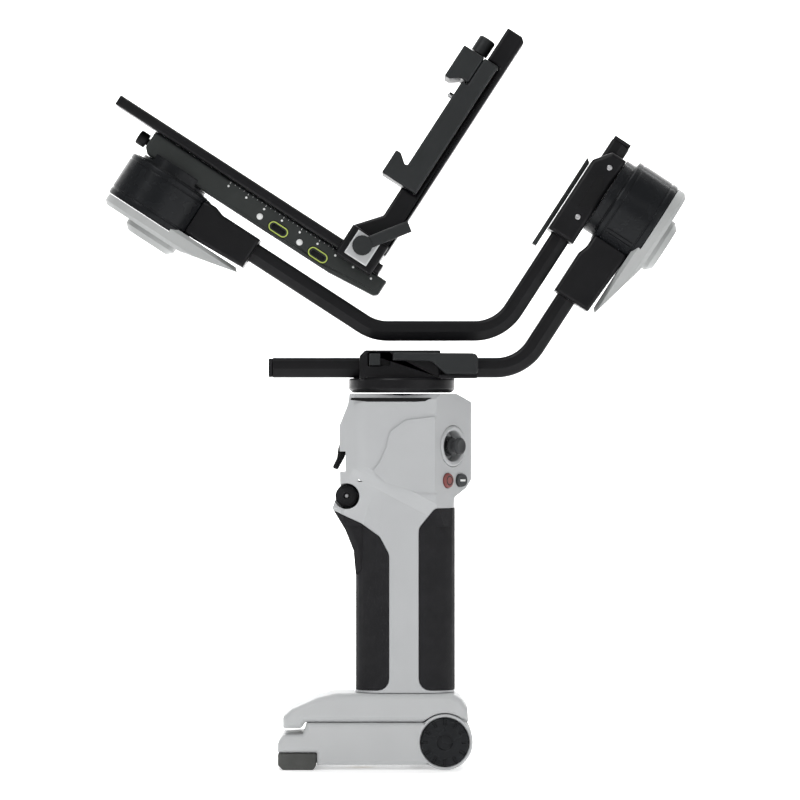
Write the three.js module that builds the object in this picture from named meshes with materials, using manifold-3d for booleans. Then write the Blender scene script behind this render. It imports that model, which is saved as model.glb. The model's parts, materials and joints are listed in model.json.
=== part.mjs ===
// Handheld three-axis camera gimbal: folding wrist-rest base, grip with controls, pan, roll and tilt
// motors on sliding arms, and a camera rail with a quick-release clamp.
// Millimetres, +Z up. X runs from the trigger side (-) to the thumb side (+), Y is the depth.
// The origin is on the ground, under the middle of the whole object's box.
import * as THREE from 'three';
import { mergeVertices } from 'three/addons/utils/BufferGeometryUtils.js';
import Module from 'manifold-3d';

const wasm = await Module();
wasm.setup();

// ---------- driving sizes ----------

const GAP = 0.3; // clearance between neighbours that touch
const ROUND = 28; // facets round a full turn
const PAN_X = 2.4; // pan axis, from the middle of the box

// folding wrist rest and base
const PIVOT_X = 23; // rest pivot, from the pan axis
const PIVOT_HEIGHT = 15; // the hub rim touches the ground, so this is its radius too
const REST_LENGTH = 89.4; // pivot to free end
const REST_TOP = 25.4;
const REST_BOTTOM = 2.7;
const STAND_DEPTH = 46;
const KNUCKLE_DEPTH = 25.6;
const FOOT_LENGTH = 20.5;
const FOOT_HEIGHT = 9;
const ROSETTE_RADIUS = 13;
const ROSETTE_SEAT = 2.4; // how deep the rosettes sit in the hub
const AXLE_RADIUS = 5;
const TRIPOD_BORE = 3.2; // quarter-inch thread, as a plain radius
const BASE_HEIGHT = 15.3; // base housing above the rest

// grip
const GRIP_HEIGHT = 101.4; // base top to the bottom of the head
const GRIP_FRONT = 24.8; // in front of the pan axis
const GRIP_BACK = 28.6; // behind it
const GRIP_DEPTH = 42;
const GRIP_CORNER = 14;
const PAD_THICKNESS = 2;
const WALL = 2.6;

// head
const HEAD_HEIGHT = 59.2;
const HEAD_DEPTH = 52;
const HEAD_BACK = 37.5;
const HEAD_BEVEL = 3;
const HEAD_NECK = 8; // height of the slope from the grip's depth out to the head's
const NECK_SLOPE = 28;
const NOSE_DEPTH = 32;
const HEAD_WALL = 2; // plastic outside the pan motor
const PANEL_RISE = 1; // control panel proud of the near face
const FACET_ANGLE = 52; // thumb panel, turned away from the near side
const FACET_X = 18.4; // where the thumb panel starts
const STICK_RADIUS = 4.6;
const STICK_BASE_RADIUS = 7.8;
const BEZEL_RADIUS = 11;
const RECORD_RADIUS = 4;
const TRIGGER_DEPTH = 14; // across the object
const WHEEL_RADIUS = 6.1;
const WHEEL_DEPTH = 14;
const WHEEL_REACH = 5; // how much further the wheel runs to the near side

// arms
const ARM_HEIGHT = 10.8;
const ARM_DEPTH = 19;
const ARM_BEND = 25; // centre-line radius
const PAN_ARM_TAIL = 69.5; // how far the tail sticks out past the pan axis

// pan joint
const PAN_RING_RADIUS = 28.6;
const PAN_RING_HEIGHT = 8.1;
const PAN_RING_LIP = 4.6; // ring rim outside the pan motor
const PAN_SEAM = 0.5;
const CLAMP_FRONT = 22.7;
const CLAMP_DEPTH = 41;
const CLAMP_ROOF = 3.9;

// roll and tilt motors
const MOTOR_RADIUS = 25;
const MOTOR_LENGTH = 25.6;
const MOTOR_WALL = 1.8;
const SHAFT_RADIUS = 5;
const CAP_RIM = 6;
const CAP_DISC = 5.3;
const CAP_DISC_RADIUS = 15.3;
const CAP_DISC_OFFSET = 7.3;
const TAIL_REACH = 57; // cap tail and arm socket, from the motor axis
const SOCKET_DEPTH = 26;

// the leaning cradle: its own frame is turned by LEAN about Y, with its origin where the pan axis
// crosses the pan arm; the roll axis runs along its X and the tilt axis along its Z
const LEAN = 33;
const ROLL_AXIS_Z = 138.1;
const ROLL_SEAM_X = 46.9;
const ROLL_CLAMP_LENGTH = 53;
const ROLL_ARM_OFFSET = 13.5; // roll arm's centre, outside the roll motor's seam
const ROLL_ARM_TOP = 27.1; // stub above the roll axis
const ROLL_ARM_KNEE_X = -23.4;
const TILT_AXIS_X = -159.6;
const TILT_SEAM_Z = 19;

// tilt bar, rail and camera bracket
const BAR_LENGTH = 148;
const BAR_BACK = 20.5; // past the tilt axis
const BAR_HEIGHT = 13;
const BAR_DEPTH = 28;
const RAIL_LENGTH = 168;
const RAIL_BACK = 46.5;
const RAIL_HEIGHT = 5.8;
const RAIL_DEPTH = 37;
const BRACKET_X = 119.5; // back of the upright, from the tilt axis
const BRACKET_HEIGHT = 143.7;
const UPRIGHT_DEPTH = 26;
const FOOT_SPAN = 22.5;
const PLATE_WIDTH = 51; // camera plate that the clamp takes
const CLAMP_BASE_Z = 41.3;
const JAW_HEIGHT = 16;
const JAW_DEPTH = 40;
const JAW_SLOPE = 3.6;
const LOWER_JAW_HEIGHT = 14.4;
const CORNER_RELIEF = 0.4; // the lower jaw's root leans this far clear of the clamp's floor

// ---------- places worked out from them ----------

const BASE_BOTTOM = REST_TOP + GAP;
const BASE_TOP = BASE_BOTTOM + BASE_HEIGHT;
const GRIP_BOTTOM = BASE_TOP + GAP;
const HEAD_BOTTOM = BASE_TOP + GRIP_HEIGHT;
const HEAD_TOP = HEAD_BOTTOM + HEAD_HEIGHT;
const NECK_Z = HEAD_BOTTOM + 10; // neck line where it crosses the pan axis
const RING_BOTTOM = HEAD_TOP + PAN_SEAM;
const RING_TOP = RING_BOTTOM + PAN_RING_HEIGHT;
const PAN_ARM_Z = RING_TOP + ARM_HEIGHT / 2;
const PAN_MOTOR_RADIUS = Math.min(HEAD_DEPTH / 2 - HEAD_WALL, PAN_RING_RADIUS - PAN_RING_LIP);
const BAR_Z = TILT_SEAM_Z + 2.5;
const RAIL_Z = BAR_Z + BAR_HEIGHT + GAP;
const RAIL_TOP = RAIL_Z + RAIL_HEIGHT;
const ROLL_ARM_X = ROLL_SEAM_X - ROLL_ARM_OFFSET;
const PAN_SOCKET_ARM = 7; // arm centre behind the roll motor's seam
const TILT_SOCKET_ARM = 10.5; // and behind the tilt motor's
const SOCKET_START = MOTOR_RADIUS + 6;

// ---------- finishes ----------

const COLOURS = {
  shell: [0xbabcbe, 0.48, 0],
  base: [0xc2c4c5, 0.5, 0],
  rubber: [0x28292b, 0.85, 0],
  foot: [0x50514f, 0.8, 0],
  black: [0x1b1c1e, 0.42, 0.35],
  casing: [0x222427, 0.36, 0.4],
  dark: [0x37393b, 0.5, 0.2],
  cap: [0xb2b4b3, 0.42, 0],
  steel: [0xb9bbbd, 0.3, 1],
  silver: [0xd7d8d9, 0.32, 0.9],
  copper: [0xa8683a, 0.4, 0.9],
  board: [0x1d4a30, 0.55, 0.1],
  brass: [0xb79a58, 0.35, 1],
  red: [0x9a3b34, 0.45, 0],
  port: [0xa9c24a, 0.5, 0],
};

function finish(name) {
  const [color, roughness, metalness] = COLOURS[name];
  return new THREE.MeshStandardMaterial({ color, roughness, metalness });
}

// ---------- shape helpers ----------

const rad = THREE.MathUtils.degToRad;
const turnOf = (x, z) => {
  const c = Math.cos(rad(LEAN));
  const s = Math.sin(rad(LEAN));
  return [x * c + z * s, PAN_ARM_Z - x * s + z * c];
};

// a three.js geometry as a solid that can be cut and joined
function solid(geometry) {
  geometry.deleteAttribute('normal');
  geometry.deleteAttribute('uv');
  const merged = mergeVertices(geometry, 1e-3);
  const index = merged.index.array;
  const kept = [];
  for (let i = 0; i < index.length; i += 3) {
    const [a, b, c] = [index[i], index[i + 1], index[i + 2]];
    if (a !== b && b !== c && c !== a) kept.push(a, b, c);
  }
  return new wasm.Manifold(new wasm.Mesh({
    numProp: 3,
    vertProperties: new Float32Array(merged.attributes.position.array),
    triVerts: new Uint32Array(kept),
  }));
}

function geometryOf(body) {
  const mesh = body.getMesh();
  const geometry = new THREE.BufferGeometry();
  geometry.setAttribute('position', new THREE.BufferAttribute(new Float32Array(mesh.vertProperties), 3));
  geometry.setIndex(new THREE.BufferAttribute(new Uint32Array(mesh.triVerts), 1));
  geometry.computeVertexNormals();
  return geometry;
}

function piece(group, name, body, colour) {
  const mesh = new THREE.Mesh(geometryOf(body), finish(colour));
  mesh.name = name;
  group.add(mesh);
  return mesh;
}

// corners [x, y, radius] as a list of points, each corner rounded where it has a radius
function rounded(corners, steps = 4) {
  const points = [];
  corners.forEach(([x, y, radius = 0], i) => {
    const corner = new THREE.Vector2(x, y);
    const [px, py] = corners[(i + corners.length - 1) % corners.length];
    const [nx, ny] = corners[(i + 1) % corners.length];
    const back = new THREE.Vector2(px, py).sub(corner);
    const on = new THREE.Vector2(nx, ny).sub(corner);
    const room = 0.48 * Math.min(back.length(), on.length());
    back.normalize();
    on.normalize();
    const half = Math.acos(THREE.MathUtils.clamp(back.dot(on), -1, 1)) / 2;
    const cut = Math.min(radius / Math.tan(half), room);
    if (cut < 0.05) {
      points.push(corner);
      return;
    }
    const from = corner.clone().addScaledVector(back, cut);
    const to = corner.clone().addScaledVector(on, cut);
    const centre = back.clone().add(on).normalize().multiplyScalar(cut / Math.cos(half)).add(corner);
    const r = centre.distanceTo(from);
    const start = Math.atan2(from.y - centre.y, from.x - centre.x);
    const sweep = Math.atan2(to.y - centre.y, to.x - centre.x) - start;
    const turn = Math.atan2(Math.sin(sweep), Math.cos(sweep));
    for (let k = 0; k <= steps; k += 1) {
      const a = start + (turn * k) / steps;
      points.push(new THREE.Vector2(centre.x + r * Math.cos(a), centre.y + r * Math.sin(a)));
    }
  });
  return points;
}

// the same corners, moved in by a distance (a closed outline drawn anticlockwise)
function inset(corners, by) {
  return corners.map(([x, y, radius = 0], i) => {
    const [px, py] = corners[(i + corners.length - 1) % corners.length];
    const [nx, ny] = corners[(i + 1) % corners.length];
    const a = new THREE.Vector2(x - px, y - py).normalize();
    const b = new THREE.Vector2(nx - x, ny - y).normalize();
    const move = by / (1 + a.dot(b));
    return [x - (a.y + b.y) * move, y + (a.x + b.x) * move, Math.max(radius - by, 0)];
  });
}

const shapeOf = (corners, steps) => new THREE.Shape(rounded(corners, steps));

function extruded(shape, depth, bevel) {
  const geometry = new THREE.ExtrudeGeometry(shape, {
    depth: depth - 2 * bevel,
    bevelEnabled: bevel > 0,
    bevelThickness: bevel,
    bevelSize: bevel,
    bevelOffset: -bevel,
    bevelSegments: 1,
    curveSegments: 6,
  });
  return geometry.translate(0, 0, bevel);
}

// an outline drawn in X-Z, with its depth along Y
function slab(shape, depth, bevel = 0, y = 0) {
  const geometry = extruded(shape, depth, bevel);
  geometry.rotateX(Math.PI / 2);
  geometry.translate(0, y + depth / 2, 0);
  return solid(geometry);
}

// an outline drawn in X-Y, from one height to another
function tower(shape, bottom, top, bevel = 0) {
  return solid(extruded(shape, top - bottom, bevel).translate(0, 0, bottom));
}

function block(x0, x1, y0, y1, z0, z1) {
  const geometry = new THREE.BoxGeometry(x1 - x0, y1 - y0, z1 - z0);
  return solid(geometry.translate((x0 + x1) / 2, (y0 + y1) / 2, (z0 + z1) / 2));
}

// a profile [radius, height] turned about Z; one that doesn't start and end on the axis is closed
function turned(profile, facets = ROUND) {
  const points = profile.map(([r, z]) => new THREE.Vector2(r, z));
  const onAxis = profile[0][0] === 0 && profile[profile.length - 1][0] === 0;
  if (!onAxis) points.push(points[0].clone());
  return new THREE.LatheGeometry(points, facets).rotateX(Math.PI / 2);
}

const ringProfile = (outer, inner, z0, z1) => [[inner, z0], [outer, z0], [outer, z1], [inner, z1]];
const discProfile = (radius, z0, z1) => [[0, z0], [radius, z0], [radius, z1], [0, z1]];

// a turned profile laid along Y or X, from a middle point
const alongY = (profile, x, y, z, facets) => (
  solid(turned(profile, facets).rotateX(Math.PI / 2).translate(x, y, z))
);
const alongX = (profile, x, y, z, facets) => (
  solid(turned(profile, facets).rotateY(Math.PI / 2).translate(x, y, z))
);
const upright = (profile, x, y, z, facets) => solid(turned(profile, facets).translate(x, y, z));

// a band of one thickness along a bent centre line
function ribbon(path, thickness, bend, steps = 7) {
  const line = [];
  path.forEach(([x, z], i) => {
    const here = new THREE.Vector2(x, z);
    if (i === 0 || i === path.length - 1) {
      line.push(here);
      return;
    }
    const back = new THREE.Vector2(...path[i - 1]).sub(here).normalize();
    const on = new THREE.Vector2(...path[i + 1]).sub(here).normalize();
    const half = Math.acos(back.dot(on)) / 2;
    const centre = back.clone().add(on).normalize().multiplyScalar(bend / Math.sin(half)).add(here);
    const from = here.clone().addScaledVector(back, bend / Math.tan(half)).sub(centre);
    const to = here.clone().addScaledVector(on, bend / Math.tan(half)).sub(centre);
    const turn = Math.atan2(from.cross(to), from.dot(to));
    for (let k = 0; k <= steps; k += 1) {
      line.push(from.clone().rotateAround(new THREE.Vector2(), (turn * k) / steps).add(centre));
    }
  });
  const side = (sign) => line.map((point, i) => {
    const a = line[Math.max(i - 1, 0)];
    const b = line[Math.min(i + 1, line.length - 1)];
    const into = point.clone().sub(a).normalize();
    const out = b.clone().sub(point).normalize();
    if (i === 0) into.copy(out);
    if (i === line.length - 1) out.copy(into);
    const along = into.add(out).normalize();
    const stretch = thickness / 2 / Math.max(along.dot(out), 0.5);
    return new THREE.Vector2(point.x - along.y * sign * stretch, point.y + along.x * sign * stretch);
  });
  return new THREE.Shape([...side(1), ...side(-1).reverse()]);
}

// two circles of different radius with a tangent outline round both, in X-Y
function teardrop(bigRadius, smallRadius, reach, steps = 22) {
  const lean = Math.acos((bigRadius - smallRadius) / reach);
  const points = [];
  for (let k = 0; k <= steps; k += 1) {
    const a = lean + ((2 * Math.PI - 2 * lean) * k) / steps;
    points.push(new THREE.Vector2(bigRadius * Math.cos(a), bigRadius * Math.sin(a)));
  }
  const tipSteps = 6;
  for (let k = 0; k <= tipSteps; k += 1) {
    const a = -lean + (2 * lean * k) / tipSteps;
    points.push(new THREE.Vector2(reach + smallRadius * Math.cos(a), smallRadius * Math.sin(a)));
  }
  return new THREE.Shape(points);
}

// a bar with round ends, in X-Y, about its own middle
function stadium(length, width) {
  const end = (length - width) / 2;
  const shape = new THREE.Shape();
  shape.absarc(end, 0, width / 2, -Math.PI / 2, Math.PI / 2);
  shape.absarc(-end, 0, width / 2, Math.PI / 2, (3 * Math.PI) / 2);
  return shape;
}

// ---------- wrist rest and base ----------

function wristRest(group) {
  const free = PIVOT_X - REST_LENGTH;
  const heel = free + FOOT_LENGTH + GAP;
  const outline = [
    [heel, REST_BOTTOM],
    [PIVOT_X, REST_BOTTOM],
    [PIVOT_X, REST_TOP],
    [free + 15.4, REST_TOP],
    [free + 13.4, REST_TOP - 6.2],
    [free + 2.7, REST_TOP - 6.5],
    [free, REST_TOP - 10.8],
    [free, FOOT_HEIGHT + GAP],
    [heel, FOOT_HEIGHT + GAP],
  ];
  const halfDepth = STAND_DEPTH / 2;
  const rim = discProfile(PIVOT_HEIGHT, -halfDepth, halfDepth);
  const hub = alongY(rim, PIVOT_X, 0, PIVOT_HEIGHT, 36);
  const slot = block(PIVOT_X - PIVOT_HEIGHT - 2, PIVOT_X + PIVOT_HEIGHT + 2,
    -KNUCKLE_DEPTH / 2 - GAP, KNUCKLE_DEPTH / 2 + GAP, -1, REST_TOP + 9);
  const bore = alongY(discProfile(AXLE_RADIUS + GAP, -STAND_DEPTH, STAND_DEPTH), PIVOT_X, 0, PIVOT_HEIGHT);
  let arm = slab(new THREE.Shape(rounded(outline)), STAND_DEPTH, 1.6);
  arm = arm.add(hub).subtract(slot).subtract(bore);
  for (const side of [-1, 1]) {
    const face = (side * STAND_DEPTH) / 2;
    const seat = discProfile(ROSETTE_RADIUS + GAP, -ROSETTE_SEAT - GAP, ROSETTE_SEAT + GAP);
    arm = arm.subtract(alongY(seat, PIVOT_X, face, PIVOT_HEIGHT));
  }
  const thread = tripodPlace();
  const insertSeat = discProfile(TRIPOD_BORE + 2.4, -1, thread.length + GAP);
  arm = arm.subtract(upright(insertSeat, thread.x, 0, REST_BOTTOM));
  piece(group, 'wrist_rest_arm', arm, 'base');

  const foot = slab(shapeOf([
    [free + 2.5, 0, 2],
    [heel - GAP - 1.5, 0, 1.5],
    [heel - GAP, REST_BOTTOM, 1],
    [heel - GAP, FOOT_HEIGHT],
    [free, FOOT_HEIGHT],
    [free, REST_BOTTOM, 1],
  ], 3), STAND_DEPTH - 1, 0);
  piece(group, 'rubber_foot', foot, 'foot');

  const socket = ringProfile(TRIPOD_BORE + 2.4 - GAP, TRIPOD_BORE, 0, thread.length);
  piece(group, 'tripod_socket', upright(socket, thread.x, 0, REST_BOTTOM), 'brass');
}

const tripodPlace = () => ({ x: PIVOT_X - REST_LENGTH / 2, length: 9 });

function base(group) {
  const front = PIVOT_X - REST_LENGTH + 2.7;
  const outline = [
    [front, BASE_BOTTOM - 3.3],
    [front + 9.9, BASE_BOTTOM - 3.3],
    [front + 11.9, BASE_BOTTOM],
    [GRIP_BACK + 7, BASE_BOTTOM],
    [GRIP_BACK + 6.6, BASE_TOP - 8],
    [GRIP_BACK + 3.4, BASE_TOP - 3],
    [GRIP_BACK - 1.6, BASE_TOP],
    [front + 28, BASE_TOP],
    [front + 18.3, BASE_TOP - 2.4],
    [front + 4.8, BASE_TOP - 8.4],
    [front, BASE_TOP - 12.6],
  ];
  const sweep = discProfile(PIVOT_HEIGHT + 0.6, -STAND_DEPTH, STAND_DEPTH);
  const clear = alongY(sweep, PIVOT_X, 0, PIVOT_HEIGHT, 36);
  const knuckleRadius = PIVOT_HEIGHT - 2;
  const half = KNUCKLE_DEPTH / 2;
  const knuckle = alongY(discProfile(knuckleRadius, -half, half), PIVOT_X, 0, PIVOT_HEIGHT)
    .add(block(PIVOT_X - 9, PIVOT_X + 9, -half, half, PIVOT_HEIGHT, BASE_TOP - 6));
  const bore = alongY(discProfile(AXLE_RADIUS + GAP, -STAND_DEPTH, STAND_DEPTH), PIVOT_X, 0, PIVOT_HEIGHT);
  const housing = slab(shapeOf(outline), STAND_DEPTH, 2).subtract(clear).add(knuckle).subtract(bore);
  piece(group, 'base_housing', housing, 'base');

  const axleEnd = STAND_DEPTH / 2 - ROSETTE_SEAT - 2 * GAP;
  const axle = alongY(discProfile(AXLE_RADIUS, -axleEnd, axleEnd), PIVOT_X, 0, PIVOT_HEIGHT);
  piece(group, 'pivot_axle', axle, 'steel');

  const teeth = 12;
  for (const side of [-1, 1]) {
    const outer = 0.8;
    const profile = [
      [0, -ROSETTE_SEAT],
      [ROSETTE_RADIUS, -ROSETTE_SEAT],
      [ROSETTE_RADIUS, outer - 0.6],
      [ROSETTE_RADIUS - 0.8, outer],
      [4.2, outer],
      [4.2, outer - 1.4],
      [0, outer - 1.4],
    ];
    let disc = solid(turned(profile, 36));
    for (let k = 0; k < teeth; k += 1) {
      const notch = new THREE.BoxGeometry(3.6, 1.4, 1.6);
      notch.translate(ROSETTE_RADIUS - 2, 0, outer).rotateZ((2 * Math.PI * k) / teeth);
      disc = disc.subtract(solid(notch));
    }
    const name = side < 0 ? 'rosette_near' : 'rosette_far';
    const mesh = piece(group, name, disc, 'casing');
    mesh.rotation.x = (-side * Math.PI) / 2;
    mesh.position.set(PIVOT_X, (side * STAND_DEPTH) / 2, PIVOT_HEIGHT);
  }
}

// ---------- grip and head ----------

function gripBody(by, bottom, top) {
  const half = GRIP_DEPTH / 2;
  const plan = [
    [-GRIP_FRONT, -half, GRIP_CORNER],
    [GRIP_BACK, -half, GRIP_CORNER],
    [GRIP_BACK, half, GRIP_CORNER],
    [-GRIP_FRONT, half, GRIP_CORNER],
  ];
  return tower(shapeOf(inset(plan, by), 6), bottom, top);
}

// side view of the head, drawn anticlockwise from its lower front
const headSide = () => [
  [-GRIP_FRONT - 4, HEAD_BOTTOM - 12],
  [GRIP_BACK - 1.6, HEAD_BOTTOM - 12],
  [GRIP_BACK - 1, HEAD_BOTTOM + 3],
  [GRIP_BACK + 6, HEAD_BOTTOM + 8.3],
  [HEAD_BACK, HEAD_BOTTOM + 13],
  [HEAD_BACK, HEAD_TOP - 4.5],
  [HEAD_BACK - 8, HEAD_TOP],
  [-PAN_RING_RADIUS + 0.5, HEAD_TOP],
  [-PAN_RING_RADIUS - 0.4, HEAD_TOP - 6],
  [-PAN_RING_RADIUS - 5, HEAD_TOP - 17.3],
  [-PAN_RING_RADIUS - 4.6, HEAD_TOP - 49.5],
  [-GRIP_FRONT - 12.6, HEAD_BOTTOM - 2.4],
];

// side view of the nose that hooks over the front finger
const noseSide = () => [
  [-GRIP_FRONT, HEAD_BOTTOM - 38],
  [0, HEAD_BOTTOM - 38],
  [0, HEAD_BOTTOM + 6],
  [-PAN_RING_RADIUS - 4.6, HEAD_TOP - 49.5],
  [-GRIP_FRONT - 12.6, HEAD_BOTTOM - 2.4],
  [-GRIP_FRONT - 5.6, HEAD_BOTTOM - 14],
  [-GRIP_FRONT - 1.2, HEAD_BOTTOM - 25],
];

// plan of the head: a blunt nose, and the thumb panel cut across the near back corner
function headPlan() {
  const half = HEAD_DEPTH / 2;
  const nose = -GRIP_FRONT - 13.5;
  const across = (HEAD_BACK + 0.5 - FACET_X) * Math.tan(rad(FACET_ANGLE));
  return [
    [nose, -WHEEL_DEPTH / 2 - 1.4, 2],
    [-GRIP_FRONT + 1, -half, 12],
    [FACET_X, -half, 2],
    [HEAD_BACK + 0.5, -half + across, 2],
    [HEAD_BACK + 0.5, half, 10],
    [-GRIP_FRONT + 1, half, 12],
    [nose, WHEEL_DEPTH / 2 + 1.4, 2],
  ];
}

// below a neck line that drops towards the thumb side, the head narrows to the grip's depth
function neckBody(by) {
  const narrow = GRIP_DEPTH / 2;
  const wide = HEAD_DEPTH / 2;
  const front = [
    [-narrow + 8, HEAD_BOTTOM - 40],
    [narrow - 8, HEAD_BOTTOM - 40],
    [narrow, NECK_Z - HEAD_NECK],
    [wide, NECK_Z],
    [wide, HEAD_TOP + 60],
    [-wide, HEAD_TOP + 60],
    [-wide, NECK_Z],
    [-narrow, NECK_Z - HEAD_NECK],
  ];
  const geometry = extruded(shapeOf(inset(front, by)), 200, 0);
  geometry.translate(0, -NECK_Z, -100).rotateX(Math.PI / 2).rotateZ(Math.PI / 2);
  return solid(geometry.rotateY(rad(NECK_SLOPE)).translate(0, 0, NECK_Z));
}

function headBody(by) {
  const side = slab(shapeOf(inset(headSide(), by)), HEAD_DEPTH - 2 * by, by ? 0 : HEAD_BEVEL);
  const plan = shapeOf(inset(headPlan(), by));
  return side.intersect(tower(plan, 0, HEAD_TOP + 1)).intersect(neckBody(by));
}

const noseBody = (by) => slab(shapeOf(inset(noseSide(), by)), NOSE_DEPTH - 2 * by, by ? 0 : HEAD_BEVEL);

const handleBody = (by) => gripBody(by, GRIP_BOTTOM, HEAD_BOTTOM + 12).add(headBody(by)).add(noseBody(by));

const frontPadSide = () => [
  [-GRIP_FRONT - 30, GRIP_BOTTOM + 1.4],
  [-7, GRIP_BOTTOM + 1.4, 6],
  [-7, HEAD_BOTTOM - 27, 6],
  [-12, HEAD_BOTTOM - 17.5, 6],
  [-22, HEAD_BOTTOM - 10.5, 8],
  [-GRIP_FRONT - 12.6, HEAD_BOTTOM - 3.4],
  [-GRIP_FRONT - 30, HEAD_BOTTOM + 1],
];

const backPadSide = () => [
  [9.2, GRIP_BOTTOM + 1.4, 6],
  [GRIP_BACK + 20, GRIP_BOTTOM + 1.4],
  [GRIP_BACK + 20, HEAD_BOTTOM - 2.4],
  [17.8, HEAD_BOTTOM - 2.4, 3],
  [9.2, HEAD_BOTTOM - 13, 5],
];

const triggerPlace = () => ({ x: -PAN_RING_RADIUS - 3, z: HEAD_TOP - 28.6 });
const wheelPlace = () => ({ x: -GRIP_FRONT - 4.9, z: HEAD_BOTTOM + 4.2 });

// the thumb panel's frame: X along the panel, -Y out of it, origin on its face at the joystick
function panelPoint(along, up) {
  const x = FACET_X + along * Math.cos(rad(FACET_ANGLE));
  const y = -HEAD_DEPTH / 2 + along * Math.sin(rad(FACET_ANGLE));
  return new THREE.Vector3(x, y, HEAD_BOTTOM + up);
}

function onPanel(geometry, along, up) {
  geometry.rotateZ(rad(FACET_ANGLE));
  const place = panelPoint(along, up);
  return solid(geometry.translate(place.x, place.y, place.z));
}

const panelTurned = (profile, along, up, facets) => (
  onPanel(turned(profile, facets).rotateX(Math.PI / 2), along, up)
);

const STICK_ALONG = 14.8;
const STICK_UP = 31;
const RECORD_ALONG = 10.1;
const MODE_ALONG = 21.6;
const BUTTON_UP = 12.6;
const MODE_LENGTH = 8.6;
const MODE_WIDTH = 6.6;

function panelStadium(length, width, from, to, along, up) {
  const geometry = extruded(stadium(length, width), to - from, 0);
  geometry.rotateX(Math.PI / 2).translate(0, -from, 0);
  return onPanel(geometry, along, up);
}

// raised pad on the near face, running back to the thumb panel
function controlPanel() {
  const raised = slab(shapeOf([
    [-15.6, HEAD_BOTTOM + 18],
    [-8.6, HEAD_BOTTOM + 11.5, 3],
    [8.6, HEAD_BOTTOM + 6.5, 4],
    [FACET_X + 1, HEAD_BOTTOM + 6, 0],
    [FACET_X + 1, HEAD_BOTTOM + 47, 0],
    [2, HEAD_BOTTOM + 45, 5],
    [-6.5, HEAD_BOTTOM + 38.5, 5],
    [-8, HEAD_BOTTOM + 31, 4],
    [-12, HEAD_BOTTOM + 22, 4],
  ]), 3, 0, -HEAD_DEPTH / 2 + 1.5 - PANEL_RISE);
  const corner = new THREE.BoxGeometry(80, 40, 200).translate(0, -20, 0);
  corner.rotateZ(rad(FACET_ANGLE)).translate(FACET_X, -HEAD_DEPTH / 2, HEAD_BOTTOM + 20);
  return raised.subtract(solid(corner));
}

function handle(group) {
  const recess = (side) => slab(shapeOf(inset(side, -GAP)), 90).subtract(handleBody(PAD_THICKNESS + GAP));
  const trigger = triggerPlace();
  const wheel = wheelPlace();
  const cavity = gripBody(PAD_THICKNESS + GAP + WALL, GRIP_BOTTOM + 4, HEAD_BOTTOM + 14)
    .add(block(-PAN_RING_RADIUS + 5, 11, 5 - HEAD_DEPTH / 2, HEAD_DEPTH / 2 - 5,
      HEAD_BOTTOM + 12, HEAD_TOP - 20));
  const motorWell = upright(discProfile(PAN_MOTOR_RADIUS, HEAD_TOP - 18.5, HEAD_TOP + 5), 0, 0, 0, 36);
  const fingerBay = block(-80, trigger.x + 5.4, -TRIGGER_DEPTH / 2 - 0.6, TRIGGER_DEPTH / 2 + 0.6,
    trigger.z - 13.4, trigger.z + 2.6);
  const fingerSides = block(-80, trigger.x + 1.4, -40, 40, trigger.z - 13.4, trigger.z - 2.4);
  const wheelBay = alongY(
    discProfile(WHEEL_RADIUS + 0.9, -WHEEL_DEPTH / 2 - 0.6, 40), wheel.x, 0, wheel.z, 24);
  const panelCuts = [
    panelTurned(discProfile(BEZEL_RADIUS + GAP, -6, 4), STICK_ALONG, STICK_UP, 24),
    panelTurned(discProfile(RECORD_RADIUS + GAP, -4, 4), RECORD_ALONG, BUTTON_UP, 20),
    panelStadium(MODE_LENGTH + 0.6, MODE_WIDTH + 0.6, -4, 4, MODE_ALONG, BUTTON_UP),
  ];
  let shell = handleBody(0)
    .subtract(recess(frontPadSide()))
    .subtract(recess(backPadSide()))
    .subtract(cavity)
    .subtract(motorWell)
    .subtract(fingerBay)
    .subtract(fingerSides)
    .subtract(wheelBay);
  for (const pin of [pinBody(0.15), axleBody(0.15)]) shell = shell.subtract(pin);
  for (const cut of panelCuts) shell = shell.subtract(cut);
  const half = (side) => block(-90, 90, Math.min(0, side * 60) + (side < 0 ? 0 : -GAP / 2),
    Math.max(0, side * 60) + (side < 0 ? GAP / 2 : 0), 0, HEAD_TOP + 60);
  piece(group, 'handle_shell_near', shell.subtract(half(1)).add(controlPanel()), 'shell');
  piece(group, 'handle_shell_far', shell.subtract(half(-1)), 'shell');

  const core = handleBody(PAD_THICKNESS);
  const skin = (side) => handleBody(0).intersect(slab(shapeOf(side), 90)).subtract(core);
  piece(group, 'front_grip_pad', skin(frontPadSide()), 'rubber');
  piece(group, 'rear_grip_pad', skin(backPadSide()), 'rubber');

  const cells = tower(stadium(38, 19), GRIP_BOTTOM + 8, GRIP_BOTTOM + 78, 1.5);
  piece(group, 'battery_pack', cells, 'dark');
  const board = block(-16, 8, -0.8, 0.8, HEAD_BOTTOM + 1, HEAD_TOP - 21.5);
  piece(group, 'main_board', board, 'board');
}

// ---------- controls ----------

function pinBody(clearance) {
  const { x, z } = triggerPlace();
  const half = TRIGGER_DEPTH / 2 + 2.6;
  return alongY(discProfile(1.2 + clearance, -half - clearance, half + clearance), x, 0, z, 12);
}

function axleBody(clearance) {
  const { x, z } = wheelPlace();
  const half = WHEEL_DEPTH / 2 + 1.8;
  return alongY(discProfile(1.2 + clearance, -half - clearance, half + clearance), x, 0, z, 12);
}

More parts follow.
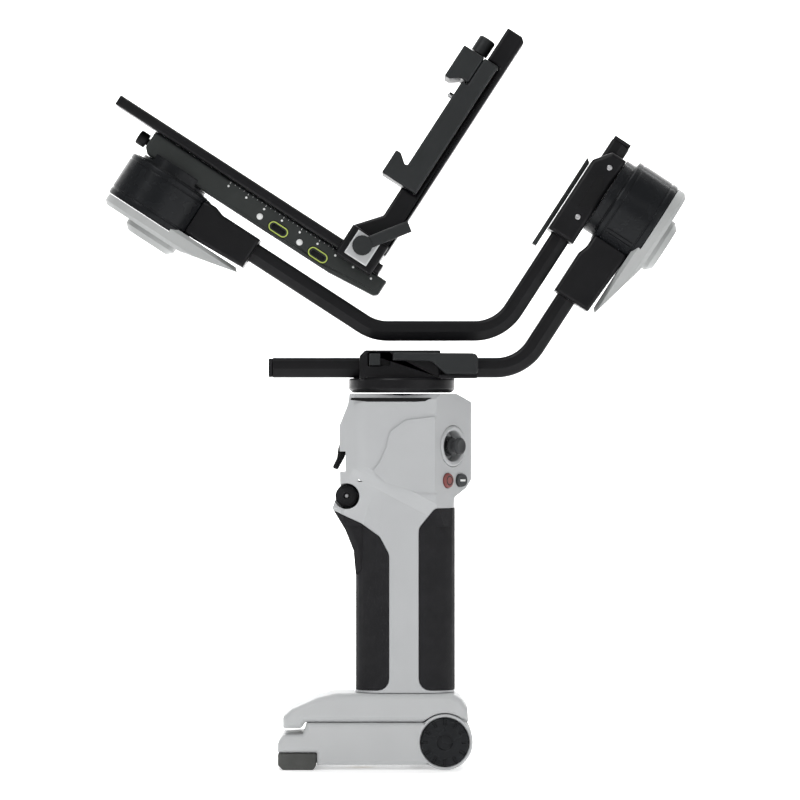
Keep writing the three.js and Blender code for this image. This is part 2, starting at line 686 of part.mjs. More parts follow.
function controls(group) {
  const { x, z } = triggerPlace();
  const lever = slab(shapeOf([
    [x - 2.8, z - 1, 1.5],
    [x - 3.4, z - 6, 4],
    [x - 6, z - 11.4, 1],
    [x - 3, z - 12.4, 1],
    [x + 0.5, z - 6, 4],
    [x + 2.4, z - 1, 1.5],
    [x + 1, z + 2.1, 1.5],
    [x - 1.8, z + 2.1, 1.5],
  ], 3), TRIGGER_DEPTH, 0.8).subtract(alongY(discProfile(1.2 + GAP, -20, 20), x, 0, z, 12));
  piece(group, 'trigger', lever, 'black');
  piece(group, 'trigger_pin', pinBody(0), 'steel');

  const wheel = wheelPlace();
  const half = WHEEL_DEPTH / 2;
  const near = half + WHEEL_REACH;
  const tyre = [
    [1.2 + GAP, -half],
    [WHEEL_RADIUS - 1, -half],
    [WHEEL_RADIUS, -half + 1],
    [WHEEL_RADIUS, near - 1],
    [WHEEL_RADIUS - 1, near],
    [1.2 + GAP, near],
  ];
  piece(group, 'control_wheel', alongY(tyre, wheel.x, 0, wheel.z, 24), 'rubber');
  piece(group, 'wheel_axle', axleBody(0), 'steel');

  const bezel = [
    [STICK_BASE_RADIUS + GAP, -5.6],
    [BEZEL_RADIUS, -5.6],
    [BEZEL_RADIUS, 0.2],
    [BEZEL_RADIUS - 1, 0.9],
    [STICK_BASE_RADIUS + GAP + 0.6, 0.4],
    [STICK_BASE_RADIUS + GAP, -0.6],
  ];
  piece(group, 'joystick_bezel', panelTurned(bezel, STICK_ALONG, STICK_UP, 24), 'shell');
  const cup = ringProfile(STICK_BASE_RADIUS - 2.4, 3.6, -4.6, -2.6);
  piece(group, 'joystick_ring', panelTurned(cup, STICK_ALONG, STICK_UP, 20), 'dark');
  const stick = [
    [0, -4.4],
    [2.4, -4.4],
    [2.4, -1.6],
    [4.6, -1.2],
    [4.6, 0.2],
    [2.6, 1.2],
    [2.6, 3],
    [STICK_RADIUS, 3.6],
    [STICK_RADIUS, 5.2],
    [STICK_RADIUS - 1, 5.8],
    [0, 5.3],
  ];
  piece(group, 'joystick_stick', panelTurned(stick, STICK_ALONG, STICK_UP, 20), 'dark');

  const edge = RECORD_RADIUS - 0.6;
  const cap = [[0, -2.6], [RECORD_RADIUS, -2.6], [RECORD_RADIUS, 0.9], [edge, 1.4], [0, 1.4]];
  piece(group, 'record_button', panelTurned(cap, RECORD_ALONG, BUTTON_UP, 20), 'red');
  const mode = panelStadium(MODE_LENGTH, MODE_WIDTH, -2.6, 1.4, MODE_ALONG, BUTTON_UP);
  piece(group, 'mode_button', mode, 'dark');
}

// ---------- pan joint and pan arm ----------

function panJoint(group) {
  const radius = PAN_MOTOR_RADIUS - GAP;
  const bottom = HEAD_TOP - 18.2;
  const top = HEAD_TOP + 0.1;
  const cup = [
    [0, bottom],
    [radius, bottom],
    [radius, top],
    [radius - MOTOR_WALL, top],
    [radius - MOTOR_WALL, bottom + 2],
    [0, bottom + 2],
  ];
  piece(group, 'pan_motor_housing', upright(cup, 0, 0, 0), 'casing');
  const stator = ringProfile(radius - MOTOR_WALL - GAP, 12, bottom + 3, top - 5);
  piece(group, 'pan_motor_stator', upright(stator, 0, 0, 0), 'copper');
  const bearing = ringProfile(11.6, SHAFT_RADIUS + GAP, bottom + 4, bottom + 10);
  piece(group, 'pan_motor_bearing', upright(bearing, 0, 0, 0, 24), 'steel');
  const rotor = [
    [0, bottom + 3],
    [SHAFT_RADIUS, bottom + 3],
    [SHAFT_RADIUS, top - 3.4],
    [radius - MOTOR_WALL - 1, top - 3.4],
    [radius - MOTOR_WALL - 1, top],
    [0, top],
  ];
  piece(group, 'pan_motor_rotor', upright(rotor, 0, 0, 0), 'steel');

  const r = PAN_RING_RADIUS;
  const ring = upright([
    [0, RING_BOTTOM],
    [r - 2, RING_BOTTOM],
    [r, RING_BOTTOM + 2],
    [r, RING_TOP - 0.8],
    [r - 0.8, RING_TOP],
    [0, RING_TOP],
  ], 0, 0, 0, 40);
  const roof = PAN_ARM_Z + ARM_HEIGHT / 2 + CLAMP_ROOF;
  const body = slab(shapeOf([
    [-CLAMP_FRONT, RING_TOP - 1],
    [CLAMP_FRONT - 2, RING_TOP - 1],
    [CLAMP_FRONT - 2, roof],
    [-CLAMP_FRONT + 3, roof],
    [-CLAMP_FRONT, roof - 3],
  ]), CLAMP_DEPTH, 1);
  const half = CLAMP_DEPTH / 2;
  const shelf = block(CLAMP_FRONT - 3, 40.5, -half - 4, half - 6, RING_TOP - GAP, RING_TOP + 1.4);
  const wing = block(CLAMP_FRONT - 3, 31, 7 - half, half - 2, RING_TOP - GAP, roof - 2);
  const tunnel = block(-60, 60, -ARM_DEPTH / 2 - GAP, ARM_DEPTH / 2 + GAP,
    RING_TOP - GAP, RING_TOP + ARM_HEIGHT + GAP);
  const slide = sliderPlace();
  const pocket = block(slide.x - GAP, slide.x + slide.length + slide.travel + GAP, -40, slide.y,
    slide.z - GAP, slide.z + slide.height + GAP);
  const clamp = ring.add(body).add(shelf).add(wing).subtract(tunnel).subtract(pocket);
  piece(group, 'pan_arm_clamp', clamp, 'black');

  const face = -CLAMP_DEPTH / 2 - GAP;
  const lever = slab(shapeOf([
    [-4.9, PAN_ARM_Z + 3.8],
    [15.7, PAN_ARM_Z + 3.4, 3],
    [23.5, RING_TOP + 1.8, 2],
    [40.8, RING_TOP + 1.8, 2],
    [40.8, PAN_ARM_Z + 7.7, 3],
    [-4.9, PAN_ARM_Z + 8, 1],
  ]), 4, 0.7, face - 2);
  piece(group, 'pan_clamp_lever', lever, 'dark');

  const thumb = block(slide.x, slide.x + slide.length, face - 1, slide.y - GAP,
    slide.z, slide.z + slide.height);
  piece(group, 'pan_lock_slider', thumb, 'dark');
}

const sliderPlace = () => ({
  x: -17.6,
  length: 6,
  travel: 5,
  y: -CLAMP_DEPTH / 2 + 3,
  z: RING_TOP + 6.6,
  height: 6.4,
});

function panArm(group) {
  const socketX = ROLL_SEAM_X + PAN_SOCKET_ARM;
  const corner = socketX / Math.cos(rad(LEAN));
  const path = [
    [-PAN_ARM_TAIL, PAN_ARM_Z],
    [corner, PAN_ARM_Z],
    turnOf(socketX, ROLL_AXIS_Z - SOCKET_START),
  ];
  piece(group, 'pan_arm', slab(ribbon(path, ARM_HEIGHT, ARM_BEND), ARM_DEPTH, 2), 'black');
  const end = block(-PAN_ARM_TAIL - 2 - GAP, -PAN_ARM_TAIL - GAP, -ARM_DEPTH / 2 + 0.4, ARM_DEPTH / 2 - 0.4,
    PAN_ARM_Z - ARM_HEIGHT / 2 + 0.4, PAN_ARM_Z + ARM_HEIGHT / 2 - 0.4);
  piece(group, 'pan_arm_end_cap', end, 'rubber');
}

// ---------- roll and tilt motors ----------

// Motor frame: axis along Z, the seam with the rotor at 0 and the cap outwards; the arm socket
// and the cap's tail reach along +X.
function motorUnit(name, armOffset, flangeRadius, flangeSlot) {
  const unit = new THREE.Group();
  const inner = MOTOR_RADIUS - MOTOR_WALL;
  const shell = [
    [SHAFT_RADIUS + 1.2, MOTOR_LENGTH - 2],
    [inner, MOTOR_LENGTH - 2],
    [inner, GAP],
    [MOTOR_RADIUS - 0.6, GAP],
    [MOTOR_RADIUS, 1],
    [MOTOR_RADIUS, MOTOR_LENGTH - 1],
    [MOTOR_RADIUS - 1, MOTOR_LENGTH],
    [SHAFT_RADIUS + 1.2, MOTOR_LENGTH],
  ];
  piece(unit, `${name}_motor_case`, solid(turned(shell, 40)), 'casing');
  piece(unit, `${name}_motor_stator`, solid(turned(ringProfile(inner - GAP, 12, 7, 19))), 'copper');
  const race = solid(turned(ringProfile(11.6, SHAFT_RADIUS + GAP, 9, 16), 24));
  piece(unit, `${name}_motor_bearing`, race, 'steel');
  const rotor = solid(turned([
    [0, -5.7],
    [flangeRadius, -5.7],
    [flangeRadius, -GAP],
    [inner - 1, -GAP],
    [inner - 1, 4],
    [SHAFT_RADIUS, 4],
    [SHAFT_RADIUS, MOTOR_LENGTH - 3],
    [0, MOTOR_LENGTH - 3],
  ], 36));
  piece(unit, `${name}_motor_rotor`, flangeSlot ? rotor.subtract(flangeSlot) : rotor, 'casing');

  const saddle = MOTOR_RADIUS - 7;
  const body = slab(shapeOf([
    [saddle, 1],
    [MOTOR_RADIUS + 4, 1],
    [MOTOR_RADIUS + 9, armOffset - ARM_HEIGHT / 2 - 2.4],
    [TAIL_REACH + 1.5, armOffset - ARM_HEIGHT / 2 - 2.4],
    [TAIL_REACH + 1.5, MOTOR_LENGTH - 5],
    [MOTOR_RADIUS + 2, MOTOR_LENGTH - 3.6],
    [saddle, MOTOR_LENGTH - 3.6],
  ]), SOCKET_DEPTH, 1.2);
  const channel = block(SOCKET_START - GAP, TAIL_REACH + 9, -ARM_DEPTH / 2 - GAP, ARM_DEPTH / 2 + GAP,
    armOffset - ARM_HEIGHT / 2 - GAP, armOffset + ARM_HEIGHT / 2 + GAP);
  const clear = solid(turned(discProfile(MOTOR_RADIUS + GAP, -1, MOTOR_LENGTH + 2), 40));
  piece(unit, `${name}_motor_bracket`, body.subtract(channel).subtract(clear), 'black');

  const low = MOTOR_LENGTH - 3.6 + GAP;
  const rim = MOTOR_LENGTH + GAP + CAP_RIM;
  const tail = tower(teardrop(MOTOR_RADIUS - 0.8, 7, TAIL_REACH - 7), low, rim, 2);
  const slope = slab(shapeOf([
    [MOTOR_RADIUS - 3, rim + 0.5],
    [TAIL_REACH + 6, low + 0.6],
    [TAIL_REACH + 6, rim + 9],
    [MOTOR_RADIUS - 3, rim + 9],
  ]), 80);
  const seat = solid(turned(discProfile(MOTOR_RADIUS + GAP, low - 9, MOTOR_LENGTH + GAP), 40));
  const disc = turned([
    [0, rim - 1],
    [CAP_DISC_RADIUS, rim - 1],
    [CAP_DISC_RADIUS, rim + CAP_DISC - 3],
    [CAP_DISC_RADIUS - 3, rim + CAP_DISC],
    [0, rim + CAP_DISC],
  ]).translate(CAP_DISC_OFFSET, 0, 0);
  const cap = tail.subtract(slope).add(solid(disc)).subtract(seat);
  piece(unit, `${name}_motor_cap`, cap, 'cap');
  return unit;
}

// ---------- roll arm ----------

function rollArm(group) {
  const z = ROLL_AXIS_Z;
  const inside = ROLL_SEAM_X - 6;
  const outside = ROLL_ARM_X - ARM_HEIGHT / 2 - 2.9;
  const top = z + 20.4;
  const body = slab(shapeOf([
    [outside, top - ROLL_CLAMP_LENGTH],
    [inside, top - ROLL_CLAMP_LENGTH],
    [inside, top],
    [outside + 6.8, top],
    [outside, top - 9],
  ]), 34, 1.4);
  const tunnel = block(ROLL_ARM_X - ARM_HEIGHT / 2 - GAP, ROLL_ARM_X + ARM_HEIGHT / 2 + GAP,
    -ARM_DEPTH / 2 - GAP, ARM_DEPTH / 2 + GAP, z - 90, z + 90);
  piece(group, 'roll_arm_clamp', body.subtract(tunnel), 'black');
  const lever = slab(shapeOf([
    [outside - GAP - 2.6, top - 64],
    [outside - GAP, top - 64],
    [outside - GAP, top - 11],
    [outside - GAP - 2.6, top - 9],
  ]), 14, 0.5);
  piece(group, 'roll_clamp_lever', lever, 'dark');

  const low = TILT_SEAM_Z - TILT_SOCKET_ARM;
  const path = [
    [ROLL_ARM_X, z + ROLL_ARM_TOP],
    [ROLL_ARM_X, low + (ROLL_ARM_X - ROLL_ARM_KNEE_X) * Math.tan(rad(LEAN))],
    [ROLL_ARM_KNEE_X, low],
    [TILT_AXIS_X + SOCKET_START, low],
  ];
  piece(group, 'roll_arm', slab(ribbon(path, ARM_HEIGHT, ARM_BEND), ARM_DEPTH, 2), 'black');
  const cap = block(ROLL_ARM_X - ARM_HEIGHT / 2 + 0.4, ROLL_ARM_X + ARM_HEIGHT / 2 - 0.4,
    -ARM_DEPTH / 2 + 0.4, ARM_DEPTH / 2 - 0.4, z + ROLL_ARM_TOP + GAP, z + ROLL_ARM_TOP + GAP + 2);
  piece(group, 'roll_arm_end_cap', cap, 'rubber');
}

// ---------- tilt bar and rail ----------

const PORTS = [['usb_port_left', 63.5], ['usb_port_right', 88.8]];
const PORT_LENGTH = 11;
const PORT_WIDTH = 5;

function tiltBar(group) {
  const left = TILT_AXIS_X - BAR_BACK;
  const right = left + BAR_LENGTH;
  const top = BAR_Z + BAR_HEIGHT;
  let bar = slab(shapeOf([
    [left, BAR_Z + 3],
    [left + 3, BAR_Z],
    [right - 29, BAR_Z],
    [right - 2, BAR_Z + 2.6],
    [right, BAR_Z + 4.4],
    [right, top],
    [left, top],
  ]), BAR_DEPTH, 1);
  const face = -BAR_DEPTH / 2;
  const portZ = BAR_Z + 4.6;
  for (const [name, along] of PORTS) {
    const oval = (length, width, back, front) => {
      const geometry = extruded(stadium(length, width), front - back, 0);
      geometry.rotateX(Math.PI / 2).translate(TILT_AXIS_X + along, face - back, portZ);
      return solid(geometry);
    };
    bar = bar.subtract(oval(PORT_LENGTH + 0.6, PORT_WIDTH + 0.6, -4, 1));
    const mouth = oval(PORT_LENGTH - 2.6, PORT_WIDTH - 2.6, -2.9, 1);
    const shell = oval(PORT_LENGTH, PORT_WIDTH, -3.7, 0.2).subtract(mouth);
    piece(group, name, shell, 'port');
  }
  piece(group, 'tilt_bar', bar, 'dark');

  const railLeft = TILT_AXIS_X - RAIL_BACK;
  const rail = slab(shapeOf([
    [railLeft, RAIL_Z],
    [railLeft + RAIL_LENGTH, RAIL_Z],
    [railLeft + RAIL_LENGTH, RAIL_TOP],
    [railLeft, RAIL_TOP],
  ]), RAIL_DEPTH, 1);
  piece(group, 'camera_rail', rail, 'black');

  const knob = [[0, 0], [2, 0], [2, 1.4], [4, 1.4], [4, 6.4], [3.4, 7], [0, 7]];
  const turnedKnob = solid(turned(knob, 20).rotateY(-Math.PI / 2).translate(left - GAP, 0, BAR_Z + 6));
  piece(group, 'tilt_lock_knob', turnedKnob, 'black');
}

// ---------- camera bracket ----------

// Bracket frame: X is measured from the upright's back, Z from the rail's top.
function cameraBracket() {
  const bracket = new THREE.Group();
  bracket.position.set(TILT_AXIS_X + BRACKET_X, 0, RAIL_TOP);
  const footTop = 9.7;
  const thick = 12.8;
  const blockBack = -4.3;
  const floor = -16.5;
  const lip = floor - 9.5;
  const lowerTip = CLAMP_BASE_Z + LOWER_JAW_HEIGHT;
  const clampTop = lowerTip + PLATE_WIDTH + JAW_HEIGHT;
  const jawTip = clampTop - JAW_HEIGHT - JAW_SLOPE;
  const hookZ = -RAIL_HEIGHT - 3;
  const foot = slab(shapeOf([
    [-1 - FOOT_SPAN, hookZ],
    [-1, hookZ],
    [-1, footTop],
    [-1 - FOOT_SPAN, footTop],
  ]), 44, 1);
  const post = slab(shapeOf([
    [-1 - FOOT_SPAN, footTop - 5],
    [0, footTop - 5],
    [0, BRACKET_HEIGHT - 2],
    [-2.5, BRACKET_HEIGHT],
    [-11.5, BRACKET_HEIGHT],
    [-11.5, clampTop + GAP],
    [blockBack + GAP, clampTop + GAP],
    [blockBack + GAP, CLAMP_BASE_Z - GAP],
    [-thick, CLAMP_BASE_Z - GAP],
    [-thick, footTop + 13],
    [-1 - FOOT_SPAN, footTop],
  ]), UPRIGHT_DEPTH, 0.9);
  const railSlot = block(-60, 20, -RAIL_DEPTH / 2 - GAP, RAIL_DEPTH / 2 + GAP, -RAIL_HEIGHT - GAP, GAP);
  const barSlot = block(-60, 20, -BAR_DEPTH / 2 - GAP, BAR_DEPTH / 2 + GAP, hookZ - 2, -RAIL_HEIGHT);
  piece(bracket, 'camera_upright', foot.add(post).subtract(railSlot).subtract(barSlot), 'black');

  const plateSide = [[-19.5, -5.8], [-5.5, -5.8], [-5.5, 8.7], [-19.5, 8.7]];
  const plate = slab(shapeOf(plateSide), 1.6, 0.3, -22 - GAP - 0.8);
  piece(bracket, 'lever_plate', plate, 'silver');
  const leverFace = -22 - GAP - 1.6 - GAP;
  const pivot = [-13.2, 2.6];
  const tip = [2.5, 25];
  const lever = alongY(discProfile(5.4, 0, 4), pivot[0], leverFace, pivot[1], 20)
    .add(slab(ribbon([pivot, tip], 6.4, 1), 3.2, 0.6, leverFace - 2));
  piece(bracket, 'bracket_lever', lever, 'dark');

  const clamp = slab(shapeOf([
    [lip, CLAMP_BASE_Z],
    [blockBack, CLAMP_BASE_Z],
    [blockBack, clampTop],
    [floor + 3.6, clampTop],
    [floor + 3.6, jawTip + JAW_SLOPE - 1],
    [floor, jawTip + JAW_SLOPE - 1],
    [floor, lowerTip - JAW_SLOPE],
    [floor - 1.5, lowerTip - JAW_SLOPE - CORNER_RELIEF],
    [floor - 6.5, lowerTip],
    [lip, lowerTip],
  ]), JAW_DEPTH, 0.5);
  const pinZ = jawTip - 6;
  const hole = alongX(discProfile(1.9, -1, 5), floor, 0, pinZ, 16);
  piece(bracket, 'clamp_block', clamp.subtract(hole), 'dark');
  const pin = [[0, -3], [1.2, -3], [1.6, -2.4], [1.6, 1.4], [0, 1.4]];
  piece(bracket, 'safety_pin', alongX(pin, floor, 0, pinZ, 16), 'steel');

  const jaw = slab(shapeOf([
    [lip, jawTip],
    [floor - 6.5, jawTip],
    [floor - 1.5, jawTip + JAW_SLOPE],
    [floor + 3.6 - GAP, jawTip + JAW_SLOPE],
    [floor + 3.6 - GAP, clampTop],
    [lip, clampTop],
  ]), JAW_DEPTH, 0.5);
  piece(bracket, 'clamp_jaw', jaw, 'dark');
  const knobX = floor - 0.9;
  const knob = [[0, 0], [3, 0], [3, 1.2], [4.75, 1.2], [4.75, 9.8], [4, 10.6], [0, 10.6]];
  piece(bracket, 'clamp_knob', upright(knob, knobX, 0, clampTop + GAP, 20), 'steel');
  return bracket;
}

// ---------- the whole gimbal ----------

const gimbal = new THREE.Group();
gimbal.position.x = PAN_X;
wristRest(gimbal);
base(gimbal);
handle(gimbal);
controls(gimbal);
panJoint(gimbal);
panArm(gimbal);

const cradle = new THREE.Group();
cradle.position.z = PAN_ARM_Z;
cradle.rotation.y = rad(LEAN);
gimbal.add(cradle);

const rollMotor = motorUnit('roll', PAN_SOCKET_ARM, MOTOR_RADIUS - 3);
rollMotor.position.set(ROLL_SEAM_X, 0, ROLL_AXIS_Z);
rollMotor.rotation.y = Math.PI / 2;
cradle.add(rollMotor);
rollArm(cradle);

const barSeat = block(-60, 60, -BAR_DEPTH / 2 - GAP, BAR_DEPTH / 2 + GAP, -9, TILT_SEAM_Z - BAR_Z + GAP);
const tiltMotor = motorUnit('tilt', TILT_SOCKET_ARM, MOTOR_RADIUS - 5.5, barSeat);
tiltMotor.position.set(TILT_AXIS_X, 0, TILT_SEAM_Z);
tiltMotor.rotation.x = Math.PI;
cradle.add(tiltMotor);
tiltBar(cradle);
cradle.add(cameraBracket());

const model = new THREE.Group();
model.add(gimbal);
export default model;
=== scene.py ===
import json
import math

import bmesh
import bpy
from mathutils import Matrix, Vector


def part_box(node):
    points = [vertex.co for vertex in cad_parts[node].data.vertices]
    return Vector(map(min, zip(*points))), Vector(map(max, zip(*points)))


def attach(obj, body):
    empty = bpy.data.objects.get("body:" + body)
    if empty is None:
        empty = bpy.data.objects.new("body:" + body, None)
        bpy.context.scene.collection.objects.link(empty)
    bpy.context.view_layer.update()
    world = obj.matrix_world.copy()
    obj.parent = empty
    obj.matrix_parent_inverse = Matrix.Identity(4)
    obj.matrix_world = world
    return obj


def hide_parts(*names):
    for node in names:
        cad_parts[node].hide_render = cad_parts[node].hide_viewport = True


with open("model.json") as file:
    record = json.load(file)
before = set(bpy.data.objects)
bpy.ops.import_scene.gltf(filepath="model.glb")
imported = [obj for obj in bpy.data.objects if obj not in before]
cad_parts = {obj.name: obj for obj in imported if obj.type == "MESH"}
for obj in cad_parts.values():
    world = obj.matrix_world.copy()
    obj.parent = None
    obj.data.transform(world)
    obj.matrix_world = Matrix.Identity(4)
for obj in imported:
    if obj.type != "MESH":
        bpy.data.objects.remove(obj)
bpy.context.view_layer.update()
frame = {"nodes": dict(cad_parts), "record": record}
MM = 0.001

# ---------- sizes shared by several pieces ----------

LEAN = math.radians(33)  # the cradle's turn about Y
FACET = math.radians(52)  # the thumb panel's turn about Z
PAN_X = 2.4 * MM
ARM_HEIGHT = 10.8 * MM
ARM_DEPTH = 19 * MM
ARM_BEND = 25 * MM
PAN_ARM_LOW, PAN_ARM_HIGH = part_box("pan_arm")
PAN_ARM_Z = PAN_ARM_LOW[2] + ARM_HEIGHT / 2
HEAD_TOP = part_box("handle_shell_near")[1][2]
HEAD_BOTTOM = HEAD_TOP - 59.2 * MM
HEAD_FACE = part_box("handle_shell_far")[1][1]  # half the head's depth
MOTOR_RADIUS = 25 * MM
MOTOR_LENGTH = 25.6 * MM
ROLL_SEAM = Vector((46.9, 0, 138.1)) * MM
TILT_SEAM = Vector((-159.6, 0, 19)) * MM
BAR_Z = TILT_SEAM.z + 2.5 * MM
RAIL_TOP = BAR_Z + 19.1 * MM
BRACKET_X = TILT_SEAM.x + 119.5 * MM

# frames: each maps its own coordinates to the row's
CRADLE = Matrix.Translation((PAN_X, 0, PAN_ARM_Z)) @ Matrix.Rotation(LEAN, 4, "Y")
ROLL = CRADLE @ Matrix.Translation(ROLL_SEAM) @ Matrix.Rotation(math.pi / 2, 4, "Y")
TILT = CRADLE @ Matrix.Translation(TILT_SEAM) @ Matrix.Rotation(math.pi, 4, "X")
BRACKET = CRADLE @ Matrix.Translation((BRACKET_X, 0, RAIL_TOP))
HANDLE = Matrix.Translation((PAN_X, 0, 0))


# ---------- materials ----------

def new_material(name, color, roughness, metallic=0.0):
    mat = bpy.data.materials.new(name)
    mat.use_nodes = True
    shader = mat.node_tree.nodes["Principled BSDF"]
    shader.inputs["Base Color"].default_value = (*color, 1)
    shader.inputs["Roughness"].default_value = roughness
    shader.inputs["Metallic"].default_value = metallic
    return mat, mat.node_tree, shader


def noise(tree, scale, detail=3.0, stretch=(1, 1, 1)):
    coords = tree.nodes.new("ShaderNodeTexCoord")
    mapping = tree.nodes.new("ShaderNodeMapping")
    mapping.inputs["Scale"].default_value = stretch
    texture = tree.nodes.new("ShaderNodeTexNoise")
    texture.inputs["Scale"].default_value = scale
    texture.inputs["Detail"].default_value = detail
    tree.links.new(coords.outputs["Object"], mapping.inputs["Vector"])
    tree.links.new(mapping.outputs["Vector"], texture.inputs["Vector"])
    return texture.outputs["Fac"]


def spread(tree, value, low, high):
    ramp = tree.nodes.new("ShaderNodeMapRange")
    ramp.inputs["From Min"].default_value = 0.3
    ramp.inputs["From Max"].default_value = 0.7
    ramp.inputs["To Min"].default_value = low
    ramp.inputs["To Max"].default_value = high
    tree.links.new(value, ramp.inputs["Value"])
    return ramp.outputs["Result"]


def blend_colors(tree, value, dark, light):
    mix = tree.nodes.new("ShaderNodeMix")
    mix.data_type = "RGBA"
    mix.inputs["A"].default_value = (*dark, 1)
    mix.inputs["B"].default_value = (*light, 1)
    tree.links.new(value, mix.inputs["Factor"])
    return mix.outputs["Result"]


def add_bump(tree, shader, height, distance, strength):
    bump = tree.nodes.new("ShaderNodeBump")
    bump.inputs["Distance"].default_value = distance
    bump.inputs["Strength"].default_value = strength
    tree.links.new(height, bump.inputs["Height"])
    tree.links.new(bump.outputs["Normal"], shader.inputs["Normal"])
    return bump


def grained(name, color, roughness, metallic=0.0, grain=2600, bump=0.25, depth=0.00006, vary=0.05, soil=40,
            stretch=(1, 1, 1)):
    """A moulded or blasted surface: fine grain, slow colour drift and uneven gloss."""
    mat, tree, shader = new_material(name, color, roughness, metallic)
    drift = noise(tree, soil, 4)
    dark = [c * (1 - vary) for c in color]
    light = [min(c * (1 + vary), 1) for c in color]
    tree.links.new(blend_colors(tree, spread(tree, drift, 0, 1), dark, light), shader.inputs["Base Color"])
    patch = noise(tree, soil * 3, 5)
    tree.links.new(spread(tree, patch, roughness - 0.05, roughness + 0.05), shader.inputs["Roughness"])
    add_bump(tree, shader, noise(tree, grain, 2, stretch), depth, bump)
    return mat


def rubber(name, color, roughness, cell=900):
    """Soft-touch rubber with a fine pebble grain."""
    mat, tree, shader = new_material(name, color, roughness)
    coords = tree.nodes.new("ShaderNodeTexCoord")
    cells = tree.nodes.new("ShaderNodeTexVoronoi")
    cells.inputs["Scale"].default_value = cell
    tree.links.new(coords.outputs["Object"], cells.inputs["Vector"])
    add_bump(tree, shader, cells.outputs["Distance"], 0.00012, 0.5)
    drift = spread(tree, noise(tree, 60, 4), 0, 1)
    dark = [c * 0.85 for c in color]
    light = [c * 1.15 for c in color]
    tree.links.new(blend_colors(tree, drift, dark, light), shader.inputs["Base Color"])
    tree.links.new(spread(tree, noise(tree, 150, 4), roughness - 0.06, roughness + 0.06),
                   shader.inputs["Roughness"])
    return mat


def banded(name, color, roughness, metallic, turns):
    """Wound wire: fine parallel turns over a metal colour."""
    mat, tree, shader = new_material(name, color, roughness, metallic)
    coords = tree.nodes.new("ShaderNodeTexCoord")
    wave = tree.nodes.new("ShaderNodeTexWave")
    wave.inputs["Scale"].default_value = turns
    tree.links.new(coords.outputs["Object"], wave.inputs["Vector"])
    add_bump(tree, shader, wave.outputs["Fac"], 0.0002, 0.6)
    dark = [c * 0.5 for c in color]
    tree.links.new(blend_colors(tree, wave.outputs["Fac"], dark, color), shader.inputs["Base Color"])
    return mat


SHELL = grained("shell_plastic", (0.455, 0.465, 0.473), 0.42, grain=3000, bump=0.12, vary=0.02)
BASE = grained("base_plastic", (0.48, 0.49, 0.495), 0.45, grain=3000, bump=0.12, vary=0.02)
GRIP = rubber("grip_rubber", (0.013, 0.013, 0.0145), 0.72)
FOOT = rubber("foot_rubber", (0.08, 0.082, 0.078), 0.7, 700)
ANODISED = grained("black_anodised", (0.008, 0.008, 0.009), 0.34, 0.1, grain=4200, bump=0.15, vary=0.12)
CASING = grained("motor_casing", (0.01, 0.011, 0.0125), 0.26, 0.15, grain=4200, bump=0.1, vary=0.12)
GREY = grained("dark_grey", (0.026, 0.028, 0.029), 0.42, 0.15, grain=3600, bump=0.2, vary=0.08)
BAR = grained("bar_grey", (0.03, 0.033, 0.032), 0.46, 0.15, grain=3600, bump=0.2, vary=0.08)
CAP = grained("cap_plastic", (0.4, 0.41, 0.408), 0.4, grain=3000, bump=0.12, vary=0.02)
CONTROL = grained("control_dark", (0.045, 0.047, 0.049), 0.42, grain=2800, bump=0.2, vary=0.08)
STEEL = grained("steel", (0.52, 0.52, 0.53), 0.28, 1.0, grain=1500, bump=0.2, vary=0.06, stretch=(1, 14, 1))
SILVER = grained("silver_plate", (0.7, 0.71, 0.72), 0.32, 0.85, grain=1500, bump=0.18, vary=0.04,
                 stretch=(1, 1, 12))
BRASS = grained("brass", (0.5, 0.36, 0.13), 0.3, 1.0, grain=1800, bump=0.15, vary=0.06)
COPPER = banded("copper", (0.42, 0.15, 0.05), 0.35, 0.9, 900)
BOARD = grained("board", (0.012, 0.07, 0.03), 0.45, grain=900, bump=0.3, vary=0.2)
RED = grained("record_red", (0.21, 0.055, 0.05), 0.4, grain=2600, bump=0.1, vary=0.05)
PORT = grained("port_ring", (0.42, 0.52, 0.1), 0.45, grain=2600, bump=0.1, vary=0.05)
WHITE = grained("white_print", (0.75, 0.76, 0.75), 0.5, grain=2600, bump=0.1, vary=0.04)
# painted shade: a near-black finish for thin plates laid where slots and recesses would hold shadow
RECESS_SHADE = grained("painted_recess_shade", (0.004, 0.004, 0.0045), 0.6, grain=2600, bump=0.1, vary=0.1)


# ---------- building helpers ----------

DARK_SHINE = 0.2
for dark in (GRIP, FOOT, ANODISED, CASING, GREY, BAR, CONTROL, RECESS_SHADE):
    dark.node_tree.nodes["Principled BSDF"].inputs["Specular IOR Level"].default_value = DARK_SHINE


def ground(mesh, angle, merge_faces):
    """Merges, clears the triangulation and marks what is smooth and what is sharp."""
    bm = bmesh.new()
    bm.from_mesh(mesh)
    bmesh.ops.remove_doubles(bm, verts=bm.verts, dist=2e-6)
    if merge_faces:
        bmesh.ops.dissolve_limit(bm, angle_limit=math.radians(0.4), verts=bm.verts, edges=bm.edges)
    bmesh.ops.recalc_face_normals(bm, faces=bm.faces)
    for face in bm.faces:
        face.smooth = True
    for edge in bm.edges:
        edge.smooth = edge.calc_face_angle(math.pi) < math.radians(angle)
    bm.to_mesh(mesh)
    bm.free()


def bevelled(piece, width, segments=2, angle=32, clamp=False):
    bevel = piece.modifiers.new("bevel", "BEVEL")
    bevel.width = width
    bevel.segments = segments
    bevel.limit_method = "ANGLE"
    bevel.angle_limit = math.radians(angle)
    bevel.use_clamp_overlap = clamp
    bevel.miter_outer = "MITER_SHARP" if clamp else "MITER_ARC"
    normal = piece.modifiers.new("normals", "WEIGHTED_NORMAL")
    normal.keep_sharp = True


def node_body(node):
    for body, nodes in frame["record"]["behaviour"]["bodies"].items():
        if node in nodes:
            return body
    return "root"


